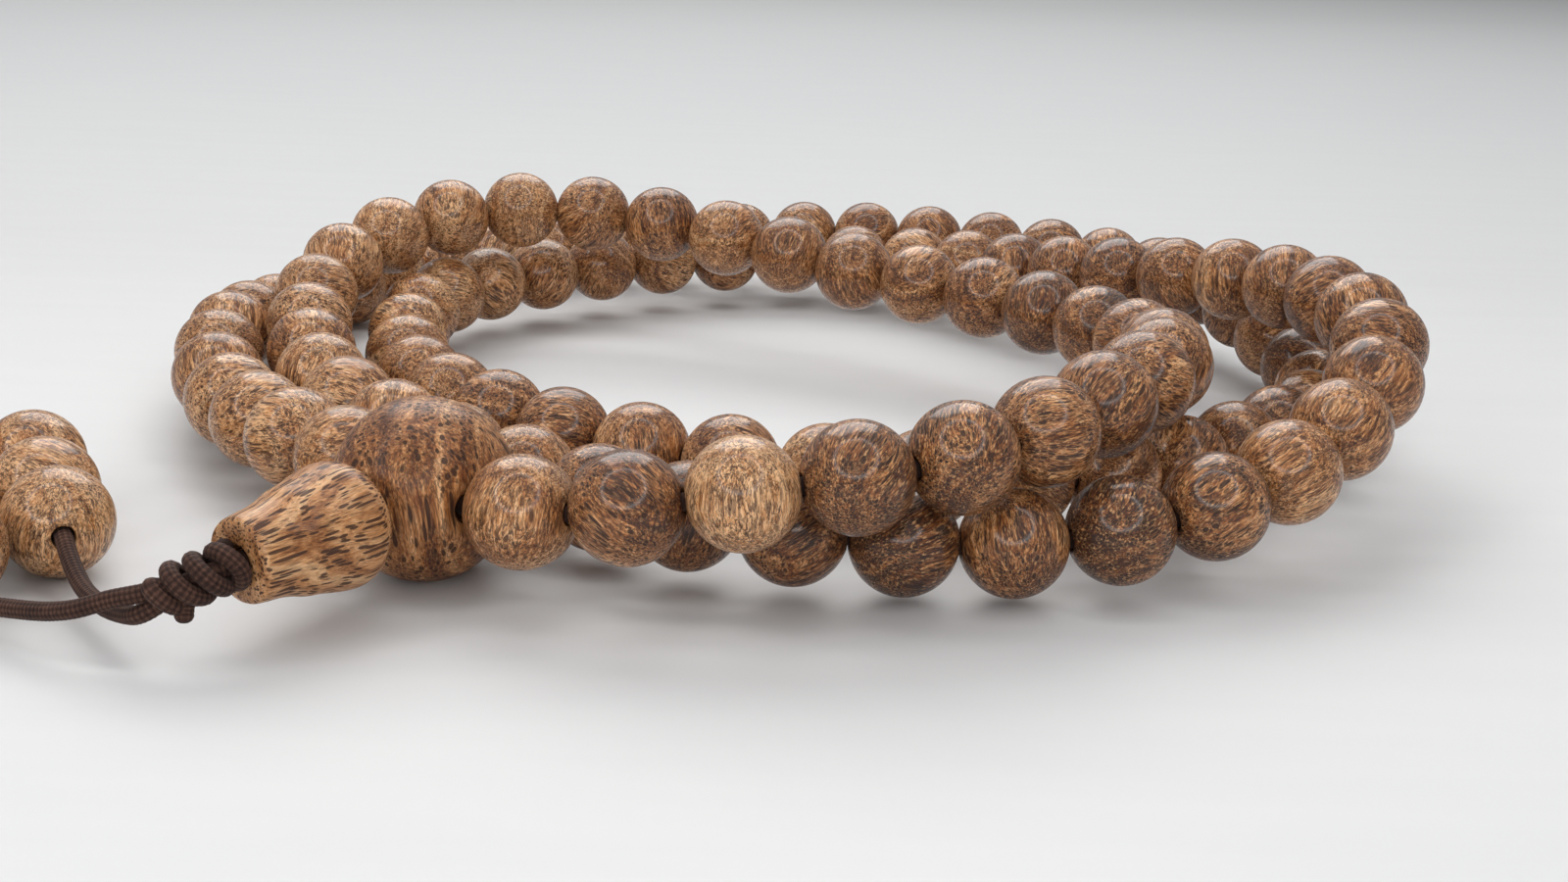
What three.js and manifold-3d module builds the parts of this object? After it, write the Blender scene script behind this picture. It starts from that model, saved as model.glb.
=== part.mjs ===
import * as THREE from 'three';
import Module from 'manifold-3d';

// String of mala prayer beads lying in three stacked loops, with its guru bead, cap bead, knot and two beaded tails.
// Millimetres, +Z up, floor at z = 0.

// Loop beads
const BEAD_RADIUS = 4.0;
const BEAD_HALF_LENGTH = 3.66;
const BEAD_FACE_RADIUS = 1.3;
const BORE_RADIUS = 0.9;
const BEAD_SEGMENTS = 8;
const BEAD_PROFILE = [[-3.66, 1.3], [-2.25, 3.3], [0, 4.0], [2.25, 3.3], [3.66, 1.3]];
// Bead numbers count along the string from the guru bead's right hand hole.
const SINGLE_BEADS = [[1, 8], [33, 45], [67, 73], [101, 108]];
const BEAD_RUNS = [[9, 16], [17, 24], [25, 32], [46, 55], [56, 66], [74, 82], [83, 91], [92, 100]];
const RUN_COLLAR_RADIUS = 1.45;

// Elastic cord
const CORD_RADIUS = 0.65;
const CORD_SEGMENTS = 6;
// Where each pair of neighbouring beads meets on the cord; bead n lies between entries n - 1 and n.
const CORD_NODES = [
  [-19.839, -50.538, 6.606], [-12.804, -53.802, 7.656], [-5.14, -54.614, 9.034], [2.573, -53.785, 10.154],
  [10.167, -52.042, 11.03], [17.043, -48.368, 11.822], [22.415, -42.709, 12.511], [26.926, -36.318, 12.946],
  [30.411, -29.303, 12.797], [32.656, -21.836, 12.042], [32.994, -14.07, 11.074], [31.221, -6.472, 10.371],
  [27.816, 0.581, 10.162], [23.175, 6.893, 10.204], [17.53, 12.328, 10.256], [11.191, 16.936, 10.359],
  [4.577, 21.117, 10.819], [-2.091, 25.136, 11.736], [-8.922, 28.908, 12.488], [-16.204, 31.734, 13.117],
  [-24.003, 32.055, 13.748], [-31.519, 29.889, 13.692], [-37.923, 25.5, 12.784], [-42.478, 19.334, 11.261],
  [-44.684, 12.055, 9.452], [-44.355, 4.397, 7.884], [-42.509, -3.157, 7.017], [-40.407, -10.666, 6.36],
  [-37.28, -17.828, 5.96], [-32.802, -24.241, 5.729], [-27.268, -29.759, 5.336], [-21.12, -34.588, 4.991],
  [-15.145, -39.642, 5.001], [-8.966, -44.442, 5.18], [-1.712, -47.379, 5.148], [6.078, -48.01, 4.761],
  [13.883, -47.762, 4.23], [21.673, -47.149, 4.729], [29.224, -45.42, 5.871], [36.03, -41.742, 7.066],
  [41.577, -36.484, 8.761], [46.292, -30.597, 10.863], [49.611, -23.79, 12.851], [50.948, -16.152, 13.933],
  [50.766, -8.328, 14.128], [49.253, -0.651, 13.854], [46.437, 6.636, 13.324], [42.532, 13.341, 12.278],
  [37.898, 19.505, 10.925], [33.031, 25.526, 9.757], [28.401, 31.764, 8.782], [23.948, 38.133, 7.825],
  [18.943, 44.083, 6.903], [12.677, 48.718, 6.167], [5.235, 51.115, 5.756], [-2.593, 51.01, 5.664],
  [-10.077, 48.712, 5.745], [-16.986, 45.028, 5.733], [-23.404, 40.548, 5.488], [-29.16, 35.242, 5.286],
  [-33.605, 28.797, 5.332], [-36.014, 21.347, 5.37], [-36.331, 13.53, 5.039], [-35.44, 5.767, 4.541],
  [-33.669, -1.851, 4.156], [-30.421, -8.975, 4.083], [-25.702, -15.218, 4.347], [-20.117, -20.705, 4.36],
  [-13.698, -25.187, 4.214], [-6.56, -28.408, 4.231], [0.901, -30.788, 4.272], [8.557, -32.425, 4.397],
  [16.378, -32.754, 4.509], [24.022, -31.067, 4.404], [30.881, -27.3, 4.175], [36.758, -22.13, 4.021],
  [42.028, -16.34, 4.038], [46.888, -10.2, 4.03], [50.563, -3.287, 4.029], [51.997, 4.405, 4.318],
  [51.385, 12.175, 5.067], [49.758, 19.733, 6.308], [47.624, 27.169, 7.517], [44.629, 34.391, 7.934],
  [40.415, 40.989, 7.779], [35.016, 46.659, 7.698], [28.665, 51.238, 7.631], [21.688, 54.791, 7.556],
  [14.355, 57.537, 7.507], [6.809, 59.607, 7.203], [-0.879, 60.967, 6.61], [-8.667, 61.408, 5.933],
  [-16.435, 60.633, 5.327], [-23.928, 58.408, 4.866], [-30.805, 54.678, 4.558], [-36.765, 49.604, 4.366],
  [-41.652, 43.488, 4.227], [-45.473, 36.655, 4.092], [-48.34, 29.37, 3.981], [-50.384, 21.812, 4.079],
  [-51.624, 14.121, 4.859], [-51.757, 6.35, 5.815], [-50.951, -1.435, 6.065], [-49.544, -9.133, 5.754],
  [-46.918, -16.504, 5.463], [-43.131, -23.358, 5.578], [-38.838, -29.891, 6.032], [-34.043, -36.074, 6.345],
  [-28.335, -41.431, 6.606],
];

// Guru bead, with a through bore and a third hole towards the cap bead
const GURU_CENTRE = [-24.087, -45.984, 6.606];
const GURU_BORE_AXIS = [0.682, -0.731, 0];
const GURU_RADIUS = 6.7354;
const GURU_HALF_LENGTH = 5.75;
const GURU_BAND_HALF = 1.6;
const GURU_SEGMENTS = 16;
const GURU_BORE_RADIUS = 1.05;

// Cap bead (stupa)
const CAP_NARROW_END = [-33.181, -61.18, 6.111];
const CAP_AXIS = [0.58053, 0.81247, 0.05364];
const CAP_LENGTH = 10.747;
const CAP_NARROW_RADIUS = 2.927;
const CAP_WIDE_RADIUS = 4.414;
const CAP_BORE_RADIUS = 1.05;
const CAP_SEGMENTS = 16;

// Barrel knot
const KNOT_START = [-33.645, -61.83, 6.068];
const KNOT_AXIS = [-0.88324, -0.32535, -0.33768];
const KNOT_LENGTH = 4.9;
const KNOT_TURNS = 4;
const KNOT_CREST_RADIUS = 1.72;
const KNOT_GROOVE_RADIUS = 1.3;
const KNOT_NUB = [0.3, -0.7, -1.45];
const KNOT_NUB_RADIUS = 0.72;

// Tails
const TAIL_BEAD_PITCH = 7.83;
const TAIL_ROW_AXIS = [-0.44269, 0.89668, 0.0];
const TAIL_BEADS_EACH = 3;
const TAIL_A_FIRST_BEAD = [-54.589, -54.757, 4.03];
const TAIL_B_FIRST_BEAD = [-49.477, -48.346, 4.03];
const TAIL_A_PATH = [[-38.565, -63.643, 4.737], [-40.765, -63.54, 4.2], [-42.696, -63.434, 3.5], [-44.9, -62.59, 2.9], [-47.245, -61.416, 2.5], [-48.837, -60.601, 2.3], [-50.737, -60.551, 2.4], [-51.644, -60.316, 3.28], [-52.686, -58.613, 3.91]];
const TAIL_B_PATH = [[-38.565, -63.643, 3.387], [-40.983, -61.359, 2.5], [-43.072, -58.995, 2.2], [-44.84, -56.677, 2.3], [-46.178, -54.634, 2.9], [-47.271, -52.745, 3.6], [-47.573, -52.202, 3.93]];
const TAIL_KNOT_RADIUS = 1.55;
const TAIL_KNOT_LENGTH = 2.4;
const TAIL_KNOT_GAP = 0.12;

const wasm = await Module();
wasm.setup();

const COLOURS = { wood: 0x9a7350, guru: 0x6f4a2c, cap: 0xa67b50, cord: 0x3a2822 };
const vec = (a) => new THREE.Vector3(a[0], a[1], a[2]);

// A body of revolution about the local Z axis. With a bore, the profile is closed by the bore wall.
function revolve(profile, segments, bore) {
  const verts = [];
  const tris = [];
  const loop = bore > 0
    ? [...profile, [profile[profile.length - 1][0], bore], [profile[0][0], bore]]
    : profile;
  for (const [z, r] of loop) {
    for (let j = 0; j < segments; j++) {
      const a = ((j + 0.5) / segments) * Math.PI * 2;
      verts.push([r * Math.cos(a), r * Math.sin(a), z]);
    }
  }
  const rings = loop.length;
  const quad = (a, b) => {
    for (let j = 0; j < segments; j++) {
      const k = (j + 1) % segments;
      tris.push([a * segments + j, a * segments + k, b * segments + k]);
      tris.push([a * segments + j, b * segments + k, b * segments + j]);
    }
  };
  for (let i = 0; i + 1 < rings; i++) quad(i, i + 1);
  if (bore > 0) {
    quad(rings - 1, 0);
  } else {
    for (let j = 1; j + 1 < segments; j++) {
      tris.push([0, j + 1, j]);
      tris.push([(rings - 1) * segments, (rings - 1) * segments + j, (rings - 1) * segments + j + 1]);
    }
  }
  return { verts, tris };
}

// Turns local Z onto an axis, keeping local Y level, and moves the body to a point.
function place(body, origin, axis) {
  const z = vec(axis).normalize();
  let x = new THREE.Vector3(0, 0, 1).addScaledVector(z, -z.z);
  if (x.length() < 1e-6) x = new THREE.Vector3(1, 0, 0);
  x.normalize();
  const y = new THREE.Vector3().crossVectors(z, x);
  const verts = body.verts.map(([a, b, c]) => [
    origin[0] + x.x * a + y.x * b + z.x * c,
    origin[1] + x.y * a + y.y * b + z.y * c,
    origin[2] + x.z * a + y.z * b + z.z * c,
  ]);
  return { verts, tris: body.tris };
}

// A polygonal tube with mitred corners along a run of points.
function tube(points, radius, segments, closed) {
  const p = points.map(vec);
  const n = p.length;
  const legs = closed ? n : n - 1;
  const dir = [];
  for (let i = 0; i < legs; i++) dir.push(p[(i + 1) % n].clone().sub(p[i]).normalize());
  let w = new THREE.Vector3(0, 0, 1).addScaledVector(dir[0], -dir[0].z);
  if (w.length() < 1e-3) w = new THREE.Vector3(1, 0, 0).addScaledVector(dir[0], -dir[0].x);
  w.normalize();
  const frames = [w.clone()];
  for (let i = 1; i < legs; i++) {
    const q = new THREE.Quaternion().setFromUnitVectors(dir[i - 1], dir[i]);
    w = w.clone().applyQuaternion(q).normalize();
    frames.push(w);
  }
  let twist = 0;
  if (closed) {
    const q = new THREE.Quaternion().setFromUnitVectors(dir[legs - 1], dir[0]);
    const end = w.clone().applyQuaternion(q).normalize();
    const side = new THREE.Vector3().crossVectors(dir[0], frames[0]);
    twist = Math.atan2(end.dot(side), end.dot(frames[0]));
    const facet = (Math.PI * 2) / segments;
    twist -= Math.round(twist / facet) * facet;
  }
  const verts = [];
  const tris = [];
  const shift = [];
  for (let i = 0; i < n; i++) {
    const before = closed ? dir[(i + legs - 1) % legs] : dir[Math.max(i - 1, 0)];
    const leg = Math.min(i, legs - 1);
    const after = dir[leg];
    const mitre = before.clone().add(after).normalize();
    const base = frames[leg];
    const side = new THREE.Vector3().crossVectors(after, base);
    for (let j = 0; j < segments; j++) {
      const a = ((j + 0.5) / segments) * Math.PI * 2 - (twist * i) / n;
      const o = base.clone().multiplyScalar(Math.cos(a)).addScaledVector(side, Math.sin(a)).multiplyScalar(radius);
      o.addScaledVector(after, -o.dot(mitre) / after.dot(mitre));
      verts.push([p[i].x + o.x, p[i].y + o.y, p[i].z + o.z]);
    }
  }
  if (closed) {
    // how many facets the last ring is turned against the first
    const q = new THREE.Quaternion().setFromUnitVectors(dir[legs - 1], dir[0]);
    const end = frames[legs - 1].clone().applyQuaternion(q).normalize();
    const side = new THREE.Vector3().crossVectors(dir[0], frames[0]);
    const full = Math.atan2(end.dot(side), end.dot(frames[0]));
    shift.push(Math.round(full / ((Math.PI * 2) / segments)));
  }
  const rings = closed ? n : n - 1;
  for (let i = 0; i < rings; i++) {
    const last = closed && i === n - 1;
    for (let j = 0; j < segments; j++) {
      const k = (j + 1) % segments;
      const a = i * segments;
      const b = last ? 0 : (i + 1) * segments;
      const turn = (m) => (last ? (((m + shift[0]) % segments) + segments) % segments : m);
      tris.push([a + j, a + k, b + turn(k)]);
      tris.push([a + j, b + turn(k), b + turn(j)]);
    }
  }
  if (!closed) {
    const e = (n - 1) * segments;
    for (let j = 1; j + 1 < segments; j++) {
      tris.push([0, j + 1, j]);
      tris.push([e, e + j, e + j + 1]);
    }
  }
  return { verts, tris };
}

function volume({ verts, tris }) {
  let v = 0;
  for (const [a, b, c] of tris) {
    const A = verts[a];
    const B = verts[b];
    const C = verts[c];
    v += A[0] * (B[1] * C[2] - B[2] * C[1]) + A[1] * (B[2] * C[0] - B[0] * C[2]) + A[2] * (B[0] * C[1] - B[1] * C[0]);
  }
  return v / 6;
}

function outward(body) {
  return volume(body) < 0 ? { verts: body.verts, tris: body.tris.map(([a, b, c]) => [a, c, b]) } : body;
}

function solid(body) {
  const b = outward(body);
  return new wasm.Manifold(new wasm.Mesh({
    numProp: 3,
    vertProperties: new Float32Array(b.verts.flat()),
    triVerts: new Uint32Array(b.tris.flat()),
  }));
}

const joined = (list) => list.reduce((sum, next) => sum.add(next));

const group = new THREE.Group();

function addGeometry(name, positions, indices, colour) {
  const geometry = new THREE.BufferGeometry();
  geometry.setAttribute('position', new THREE.Float32BufferAttribute(positions, 3));
  geometry.setIndex(indices);
  geometry.computeVertexNormals();
  const mesh = new THREE.Mesh(geometry, new THREE.MeshStandardMaterial({ color: colour, roughness: 0.5 }));
  mesh.name = name;
  group.add(mesh);
}

function addBody(name, body, colour) {
  const b = outward(body);
  addGeometry(name, b.verts.flat(), b.tris.flat(), colour);
}

function addSolid(name, manifold, colour) {
  const m = manifold.getMesh();
  const positions = [];
  for (let i = 0; i < m.vertProperties.length; i += m.numProp) {
    positions.push(m.vertProperties[i], m.vertProperties[i + 1], m.vertProperties[i + 2]);
  }
  addGeometry(name, positions, Array.from(m.triVerts), colour);
}

const middle = (a, b) => [(a[0] + b[0]) / 2, (a[1] + b[1]) / 2, (a[2] + b[2]) / 2];
const minus = (a, b) => [a[0] - b[0], a[1] - b[1], a[2] - b[2]];
const along = (a, d, s) => [a[0] + d[0] * s, a[1] + d[1] * s, a[2] + d[2] * s];
const label = (n) => String(n).padStart(3, '0');

// Single beads, each free to spin on its own stretch of cord
for (const [first, last] of SINGLE_BEADS) {
  for (let n = first; n <= last; n++) {
    const a = CORD_NODES[n - 1];
    const b = CORD_NODES[n];
    addBody(`bead_${label(n)}`, place(revolve(BEAD_PROFILE, BEAD_SEGMENTS, BORE_RADIUS), middle(a, b), minus(b, a)), COLOURS.wood);
  }
}

// Runs of beads joined at their bore faces: one skin over the beads, and one bore along the cord's path
function beadRun(points) {
  const p = points.map(vec);
  const legs = p.length - 1;
  const dir = [];
  for (let i = 0; i < legs; i++) dir.push(p[i + 1].clone().sub(p[i]).normalize());
  const frames = [];
  let w = new THREE.Vector3(0, 0, 1).addScaledVector(dir[0], -dir[0].z).normalize();
  for (let i = 0; i < legs; i++) {
    if (i > 0) w = w.clone().applyQuaternion(new THREE.Quaternion().setFromUnitVectors(dir[i - 1], dir[i])).normalize();
    frames.push(w);
  }
  const n = BEAD_SEGMENTS;
  const ringAt = (leg, centre, radius, mitre) => {
    const side = new THREE.Vector3().crossVectors(dir[leg], frames[leg]);
    const out = [];
    for (let j = 0; j < n; j++) {
      const a = ((j + 0.5) / n) * Math.PI * 2;
      const o = frames[leg].clone().multiplyScalar(radius * Math.cos(a)).addScaledVector(side, radius * Math.sin(a));
      if (mitre) o.addScaledVector(dir[leg], -o.dot(mitre) / dir[leg].dot(mitre));
      out.push([centre.x + o.x, centre.y + o.y, centre.z + o.z]);
    }
    return out;
  };
  const skin = [];
  const bore = [];
  for (let i = 0; i < legs; i++) {
    const mid = p[i].clone().add(p[i + 1]).multiplyScalar(0.5);
    const at = (z) => mid.clone().addScaledVector(dir[i], z);
    if (i === 0) {
      skin.push(ringAt(i, at(-BEAD_HALF_LENGTH), BEAD_FACE_RADIUS));
      bore.push(ringAt(i, at(-BEAD_HALF_LENGTH), BORE_RADIUS));
    } else {
      const mitre = dir[i - 1].clone().add(dir[i]).normalize();
      skin.push(ringAt(i, p[i], RUN_COLLAR_RADIUS, mitre));
      bore.push(ringAt(i, p[i], BORE_RADIUS, mitre));
    }
    for (const [z, r] of BEAD_PROFILE.slice(1, -1)) skin.push(ringAt(i, at(z), r));
    if (i === legs - 1) {
      skin.push(ringAt(i, at(BEAD_HALF_LENGTH), BEAD_FACE_RADIUS));
      bore.push(ringAt(i, at(BEAD_HALF_LENGTH), BORE_RADIUS));
    }
  }
  const loop = [...skin, ...bore.reverse()];
  const tris = [];
  for (let i = 0; i < loop.length; i++) {
    const a = i * n;
    const b = ((i + 1) % loop.length) * n;
    for (let j = 0; j < n; j++) {
      const k = (j + 1) % n;
      tris.push([a + j, a + k, b + k]);
      tris.push([a + j, b + k, b + j]);
    }
  }
  return { verts: loop.flat(), tris };
}

for (const [first, last] of BEAD_RUNS) {
  addBody(`bead_run_${label(first)}_${label(last)}`, beadRun(CORD_NODES.slice(first - 1, last + 1)), COLOURS.wood);
}

// Guru bead: a level through bore, and a third hole from its middle towards the cap bead
const capWide = along(CAP_NARROW_END, CAP_AXIS, CAP_LENGTH);
const guruProfile = [
  [-GURU_HALF_LENGTH, 2.1],
  [-5.1, 3.9],
  [-3.7, 5.55],
  [-GURU_BAND_HALF, GURU_RADIUS],
  [GURU_BAND_HALF, GURU_RADIUS],
  [3.7, 5.55],
  [5.1, 3.9],
  [GURU_HALF_LENGTH, 2.1],
];
const thirdHole = tube([GURU_CENTRE, along(capWide, CAP_AXIS, -1)], GURU_BORE_RADIUS, 8, false);
const guruBore = revolve([[-8, GURU_BORE_RADIUS], [8, GURU_BORE_RADIUS]], 8, 0);
addSolid('guru_bead',
  solid(place(revolve(guruProfile, GURU_SEGMENTS, 0), GURU_CENTRE, GURU_BORE_AXIS))
    .subtract(solid(place(guruBore, GURU_CENTRE, GURU_BORE_AXIS)))
    .subtract(solid(thirdHole)),
  COLOURS.guru);

// Cap bead
const R0 = CAP_NARROW_RADIUS;
const R1 = CAP_WIDE_RADIUS;
const capProfile = [
  [0, R0 * 0.93], [0.04, R0], [0.2, R0 * 1.07], [0.4, R0 * 1.27], [0.6, R1 * 0.93], [0.75, R1], [0.88, R1 * 0.9], [0.96, R1 * 0.68], [1, R1 * 0.42],
].map(([s, r]) => [s * CAP_LENGTH, r]);
addBody('stupa_bead', place(revolve(capProfile, CAP_SEGMENTS, CAP_BORE_RADIUS), CAP_NARROW_END, CAP_AXIS), COLOURS.cap);

// Elastic cord: one ring through every loop bead and the guru bead, with a stem through the third hole and the cap bead
const stemEnd = along(CAP_NARROW_END, CAP_AXIS, 0.1);
const ring = solid(tube(CORD_NODES, CORD_RADIUS, CORD_SEGMENTS, true));
const stem = solid(tube([GURU_CENTRE, capWide, stemEnd], CORD_RADIUS, CORD_SEGMENTS, false));
addSolid('elastic_cord', ring.add(stem), COLOURS.cord);

// Barrel knot with the trimmed end's nub
const knotProfile = [];
for (let i = 0; i < KNOT_TURNS; i++) {
  const step = KNOT_LENGTH / KNOT_TURNS;
  knotProfile.push([i * step, KNOT_GROOVE_RADIUS], [(i + 0.3) * step, KNOT_CREST_RADIUS], [(i + 0.7) * step, KNOT_CREST_RADIUS]);
}
knotProfile.push([KNOT_LENGTH, KNOT_GROOVE_RADIUS]);
const nubAt = along(along(KNOT_START, KNOT_AXIS, KNOT_LENGTH - 1.9), KNOT_NUB, 1);
const nub = revolve([[-0.72, 0.3], [-0.35, 0.65], [0.35, 0.65], [0.72, 0.3]], 8, 0);
addSolid('barrel_knot',
  solid(place(revolve(knotProfile, 12, 0), KNOT_START, KNOT_AXIS)).add(solid(place(nub, nubAt, KNOT_NUB))),
  COLOURS.cord);

// Tails: a limp cord from the knot into a row of three beads, held by an end knot
const SMOOTH_STEPS = 10;
for (const [key, path, firstBead] of [['a', TAIL_A_PATH, TAIL_A_FIRST_BEAD], ['b', TAIL_B_PATH, TAIL_B_FIRST_BEAD]]) {
  const entry = along(firstBead, TAIL_ROW_AXIS, -BEAD_HALF_LENGTH);
  const curve = new THREE.CatmullRomCurve3([...path, entry].map(vec), false, 'centripetal');
  const smooth = curve.getSpacedPoints(SMOOTH_STEPS + path.length).map((q) => [q.x, q.y, q.z]);
  const end = along(firstBead, TAIL_ROW_AXIS, TAIL_BEAD_PITCH * (TAIL_BEADS_EACH - 1) + BEAD_HALF_LENGTH + TAIL_KNOT_GAP);
  addBody(`tail_cord_${key}`, tube([...smooth, end], CORD_RADIUS, CORD_SEGMENTS, false), COLOURS.cord);
  for (let i = 0; i < TAIL_BEADS_EACH; i++) {
    const centre = along(firstBead, TAIL_ROW_AXIS, TAIL_BEAD_PITCH * i);
    addBody(`tail_bead_${key}${i + 1}`, place(revolve(BEAD_PROFILE, BEAD_SEGMENTS, BORE_RADIUS), centre, TAIL_ROW_AXIS), COLOURS.wood);
  }
  const knotStart = along(end, TAIL_ROW_AXIS, 0.1);
  const K = TAIL_KNOT_RADIUS;
  const endKnot = revolve([[0, K * 0.6], [0.5, K], [TAIL_KNOT_LENGTH - 0.6, K * 0.95], [TAIL_KNOT_LENGTH, K * 0.5]], 8, 0);
  addBody(`tail_end_knot_${key}`, place(endKnot, knotStart, TAIL_ROW_AXIS), COLOURS.cord);
}

export default group;
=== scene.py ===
"""Looks for the string of wooden prayer beads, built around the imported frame.

Row frame, metres in Blender, +Z up, floor at z = 0. The point lists below are the part's own, in millimetres.
"""
import math
import random

import bpy
from mathutils import Matrix, Vector


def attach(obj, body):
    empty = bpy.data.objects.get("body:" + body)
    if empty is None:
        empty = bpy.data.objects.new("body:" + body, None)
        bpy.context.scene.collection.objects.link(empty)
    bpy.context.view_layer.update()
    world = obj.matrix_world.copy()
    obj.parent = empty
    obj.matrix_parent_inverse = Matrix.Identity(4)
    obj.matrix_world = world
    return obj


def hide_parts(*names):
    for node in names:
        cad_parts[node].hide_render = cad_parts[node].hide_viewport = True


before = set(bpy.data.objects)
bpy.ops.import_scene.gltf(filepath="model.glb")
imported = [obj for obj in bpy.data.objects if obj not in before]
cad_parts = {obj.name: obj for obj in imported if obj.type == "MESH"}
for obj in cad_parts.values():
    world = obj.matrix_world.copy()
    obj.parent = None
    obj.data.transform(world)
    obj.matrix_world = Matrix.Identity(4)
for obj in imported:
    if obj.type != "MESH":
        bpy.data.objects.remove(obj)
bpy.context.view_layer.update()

MM = 0.001

# ---------------------------------------------------------------- the part's own numbers, mm
BEAD_RADIUS = 4.0
BORE_RADIUS = 0.9
CORD_RADIUS = 0.65
SINGLE_BEADS = [(1, 8), (33, 45), (67, 73), (101, 108)]
BEAD_RUNS = [(9, 16), (17, 24), (25, 32), (46, 55), (56, 66), (74, 82), (83, 91), (92, 100)]
CORD_NODES = [
    (-19.839, -50.538, 6.606), (-12.804, -53.802, 7.656), (-5.14, -54.614, 9.034), (2.573, -53.785, 10.154),
    (10.167, -52.042, 11.03), (17.043, -48.368, 11.822), (22.415, -42.709, 12.511), (26.926, -36.318, 12.946),
    (30.411, -29.303, 12.797), (32.656, -21.836, 12.042), (32.994, -14.07, 11.074), (31.221, -6.472, 10.371),
    (27.816, 0.581, 10.162), (23.175, 6.893, 10.204), (17.53, 12.328, 10.256), (11.191, 16.936, 10.359),
    (4.577, 21.117, 10.819), (-2.091, 25.136, 11.736), (-8.922, 28.908, 12.488), (-16.204, 31.734, 13.117),
    (-24.003, 32.055, 13.748), (-31.519, 29.889, 13.692), (-37.923, 25.5, 12.784), (-42.478, 19.334, 11.261),
    (-44.684, 12.055, 9.452), (-44.355, 4.397, 7.884), (-42.509, -3.157, 7.017), (-40.407, -10.666, 6.36),
    (-37.28, -17.828, 5.96), (-32.802, -24.241, 5.729), (-27.268, -29.759, 5.336), (-21.12, -34.588, 4.991),
    (-15.145, -39.642, 5.001), (-8.966, -44.442, 5.18), (-1.712, -47.379, 5.148), (6.078, -48.01, 4.761),
    (13.883, -47.762, 4.23), (21.673, -47.149, 4.729), (29.224, -45.42, 5.871), (36.03, -41.742, 7.066),
    (41.577, -36.484, 8.761), (46.292, -30.597, 10.863), (49.611, -23.79, 12.851), (50.948, -16.152, 13.933),
    (50.766, -8.328, 14.128), (49.253, -0.651, 13.854), (46.437, 6.636, 13.324), (42.532, 13.341, 12.278),
    (37.898, 19.505, 10.925), (33.031, 25.526, 9.757), (28.401, 31.764, 8.782), (23.948, 38.133, 7.825),
    (18.943, 44.083, 6.903), (12.677, 48.718, 6.167), (5.235, 51.115, 5.756), (-2.593, 51.01, 5.664),
    (-10.077, 48.712, 5.745), (-16.986, 45.028, 5.733), (-23.404, 40.548, 5.488), (-29.16, 35.242, 5.286),
    (-33.605, 28.797, 5.332), (-36.014, 21.347, 5.37), (-36.331, 13.53, 5.039), (-35.44, 5.767, 4.541),
    (-33.669, -1.851, 4.156), (-30.421, -8.975, 4.083), (-25.702, -15.218, 4.347), (-20.117, -20.705, 4.36),
    (-13.698, -25.187, 4.214), (-6.56, -28.408, 4.231), (0.901, -30.788, 4.272), (8.557, -32.425, 4.397),
    (16.378, -32.754, 4.509), (24.022, -31.067, 4.404), (30.881, -27.3, 4.175), (36.758, -22.13, 4.021),
    (42.028, -16.34, 4.038), (46.888, -10.2, 4.03), (50.563, -3.287, 4.029), (51.997, 4.405, 4.318),
    (51.385, 12.175, 5.067), (49.758, 19.733, 6.308), (47.624, 27.169, 7.517), (44.629, 34.391, 7.934),
    (40.415, 40.989, 7.779), (35.016, 46.659, 7.698), (28.665, 51.238, 7.631), (21.688, 54.791, 7.556),
    (14.355, 57.537, 7.507), (6.809, 59.607, 7.203), (-0.879, 60.967, 6.61), (-8.667, 61.408, 5.933),
    (-16.435, 60.633, 5.327), (-23.928, 58.408, 4.866), (-30.805, 54.678, 4.558), (-36.765, 49.604, 4.366),
    (-41.652, 43.488, 4.227), (-45.473, 36.655, 4.092), (-48.34, 29.37, 3.981), (-50.384, 21.812, 4.079),
    (-51.624, 14.121, 4.859), (-51.757, 6.35, 5.815), (-50.951, -1.435, 6.065), (-49.544, -9.133, 5.754),
    (-46.918, -16.504, 5.463), (-43.131, -23.358, 5.578), (-38.838, -29.891, 6.032), (-34.043, -36.074, 6.345),
    (-28.335, -41.431, 6.606),
]
GURU_CENTRE = (-24.087, -45.984, 6.606)
GURU_BORE_AXIS = (0.682, -0.731, 0)
CAP_NARROW_END = (-33.181, -61.18, 6.111)
CAP_AXIS = (0.58053, 0.81247, 0.05364)
CAP_LENGTH = 10.747
CAP_NARROW_RADIUS = 2.927
CAP_WIDE_RADIUS = 4.414
KNOT_START = (-33.645, -61.83, 6.068)
KNOT_AXIS = (-0.88324, -0.32535, -0.33768)
KNOT_LENGTH = 4.9
KNOT_NUB = (0.3, -0.7, -1.45)
TAIL_BEAD_PITCH = 7.83
TAIL_ROW_AXIS = (-0.44269, 0.89668, 0)
TAIL_FIRST_BEAD = {"a": (-54.589, -54.757, 4.03), "b": (-49.477, -48.346, 4.03)}
TAIL_A_PATH = [
    (-38.565, -63.643, 4.737), (-40.765, -63.54, 4.2), (-42.696, -63.434, 3.5), (-44.9, -62.59, 2.9),
    (-47.245, -61.416, 2.5), (-48.837, -60.601, 2.3), (-50.737, -60.551, 2.4), (-51.644, -60.316, 3.28),
    (-52.686, -58.613, 3.91),
]
TAIL_B_PATH = [
    (-38.565, -63.643, 3.387), (-40.983, -61.359, 2.5), (-43.072, -58.995, 2.2), (-44.84, -56.677, 2.3),
    (-46.178, -54.634, 2.9), (-47.271, -52.745, 3.6), (-47.573, -52.202, 3.93),
]
TAIL_PATH = {"a": TAIL_A_PATH, "b": TAIL_B_PATH}
BEAD_HALF_LENGTH = 3.66
TAIL_KNOT_GAP = 0.12
TAIL_KNOT_LENGTH = 2.4


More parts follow.
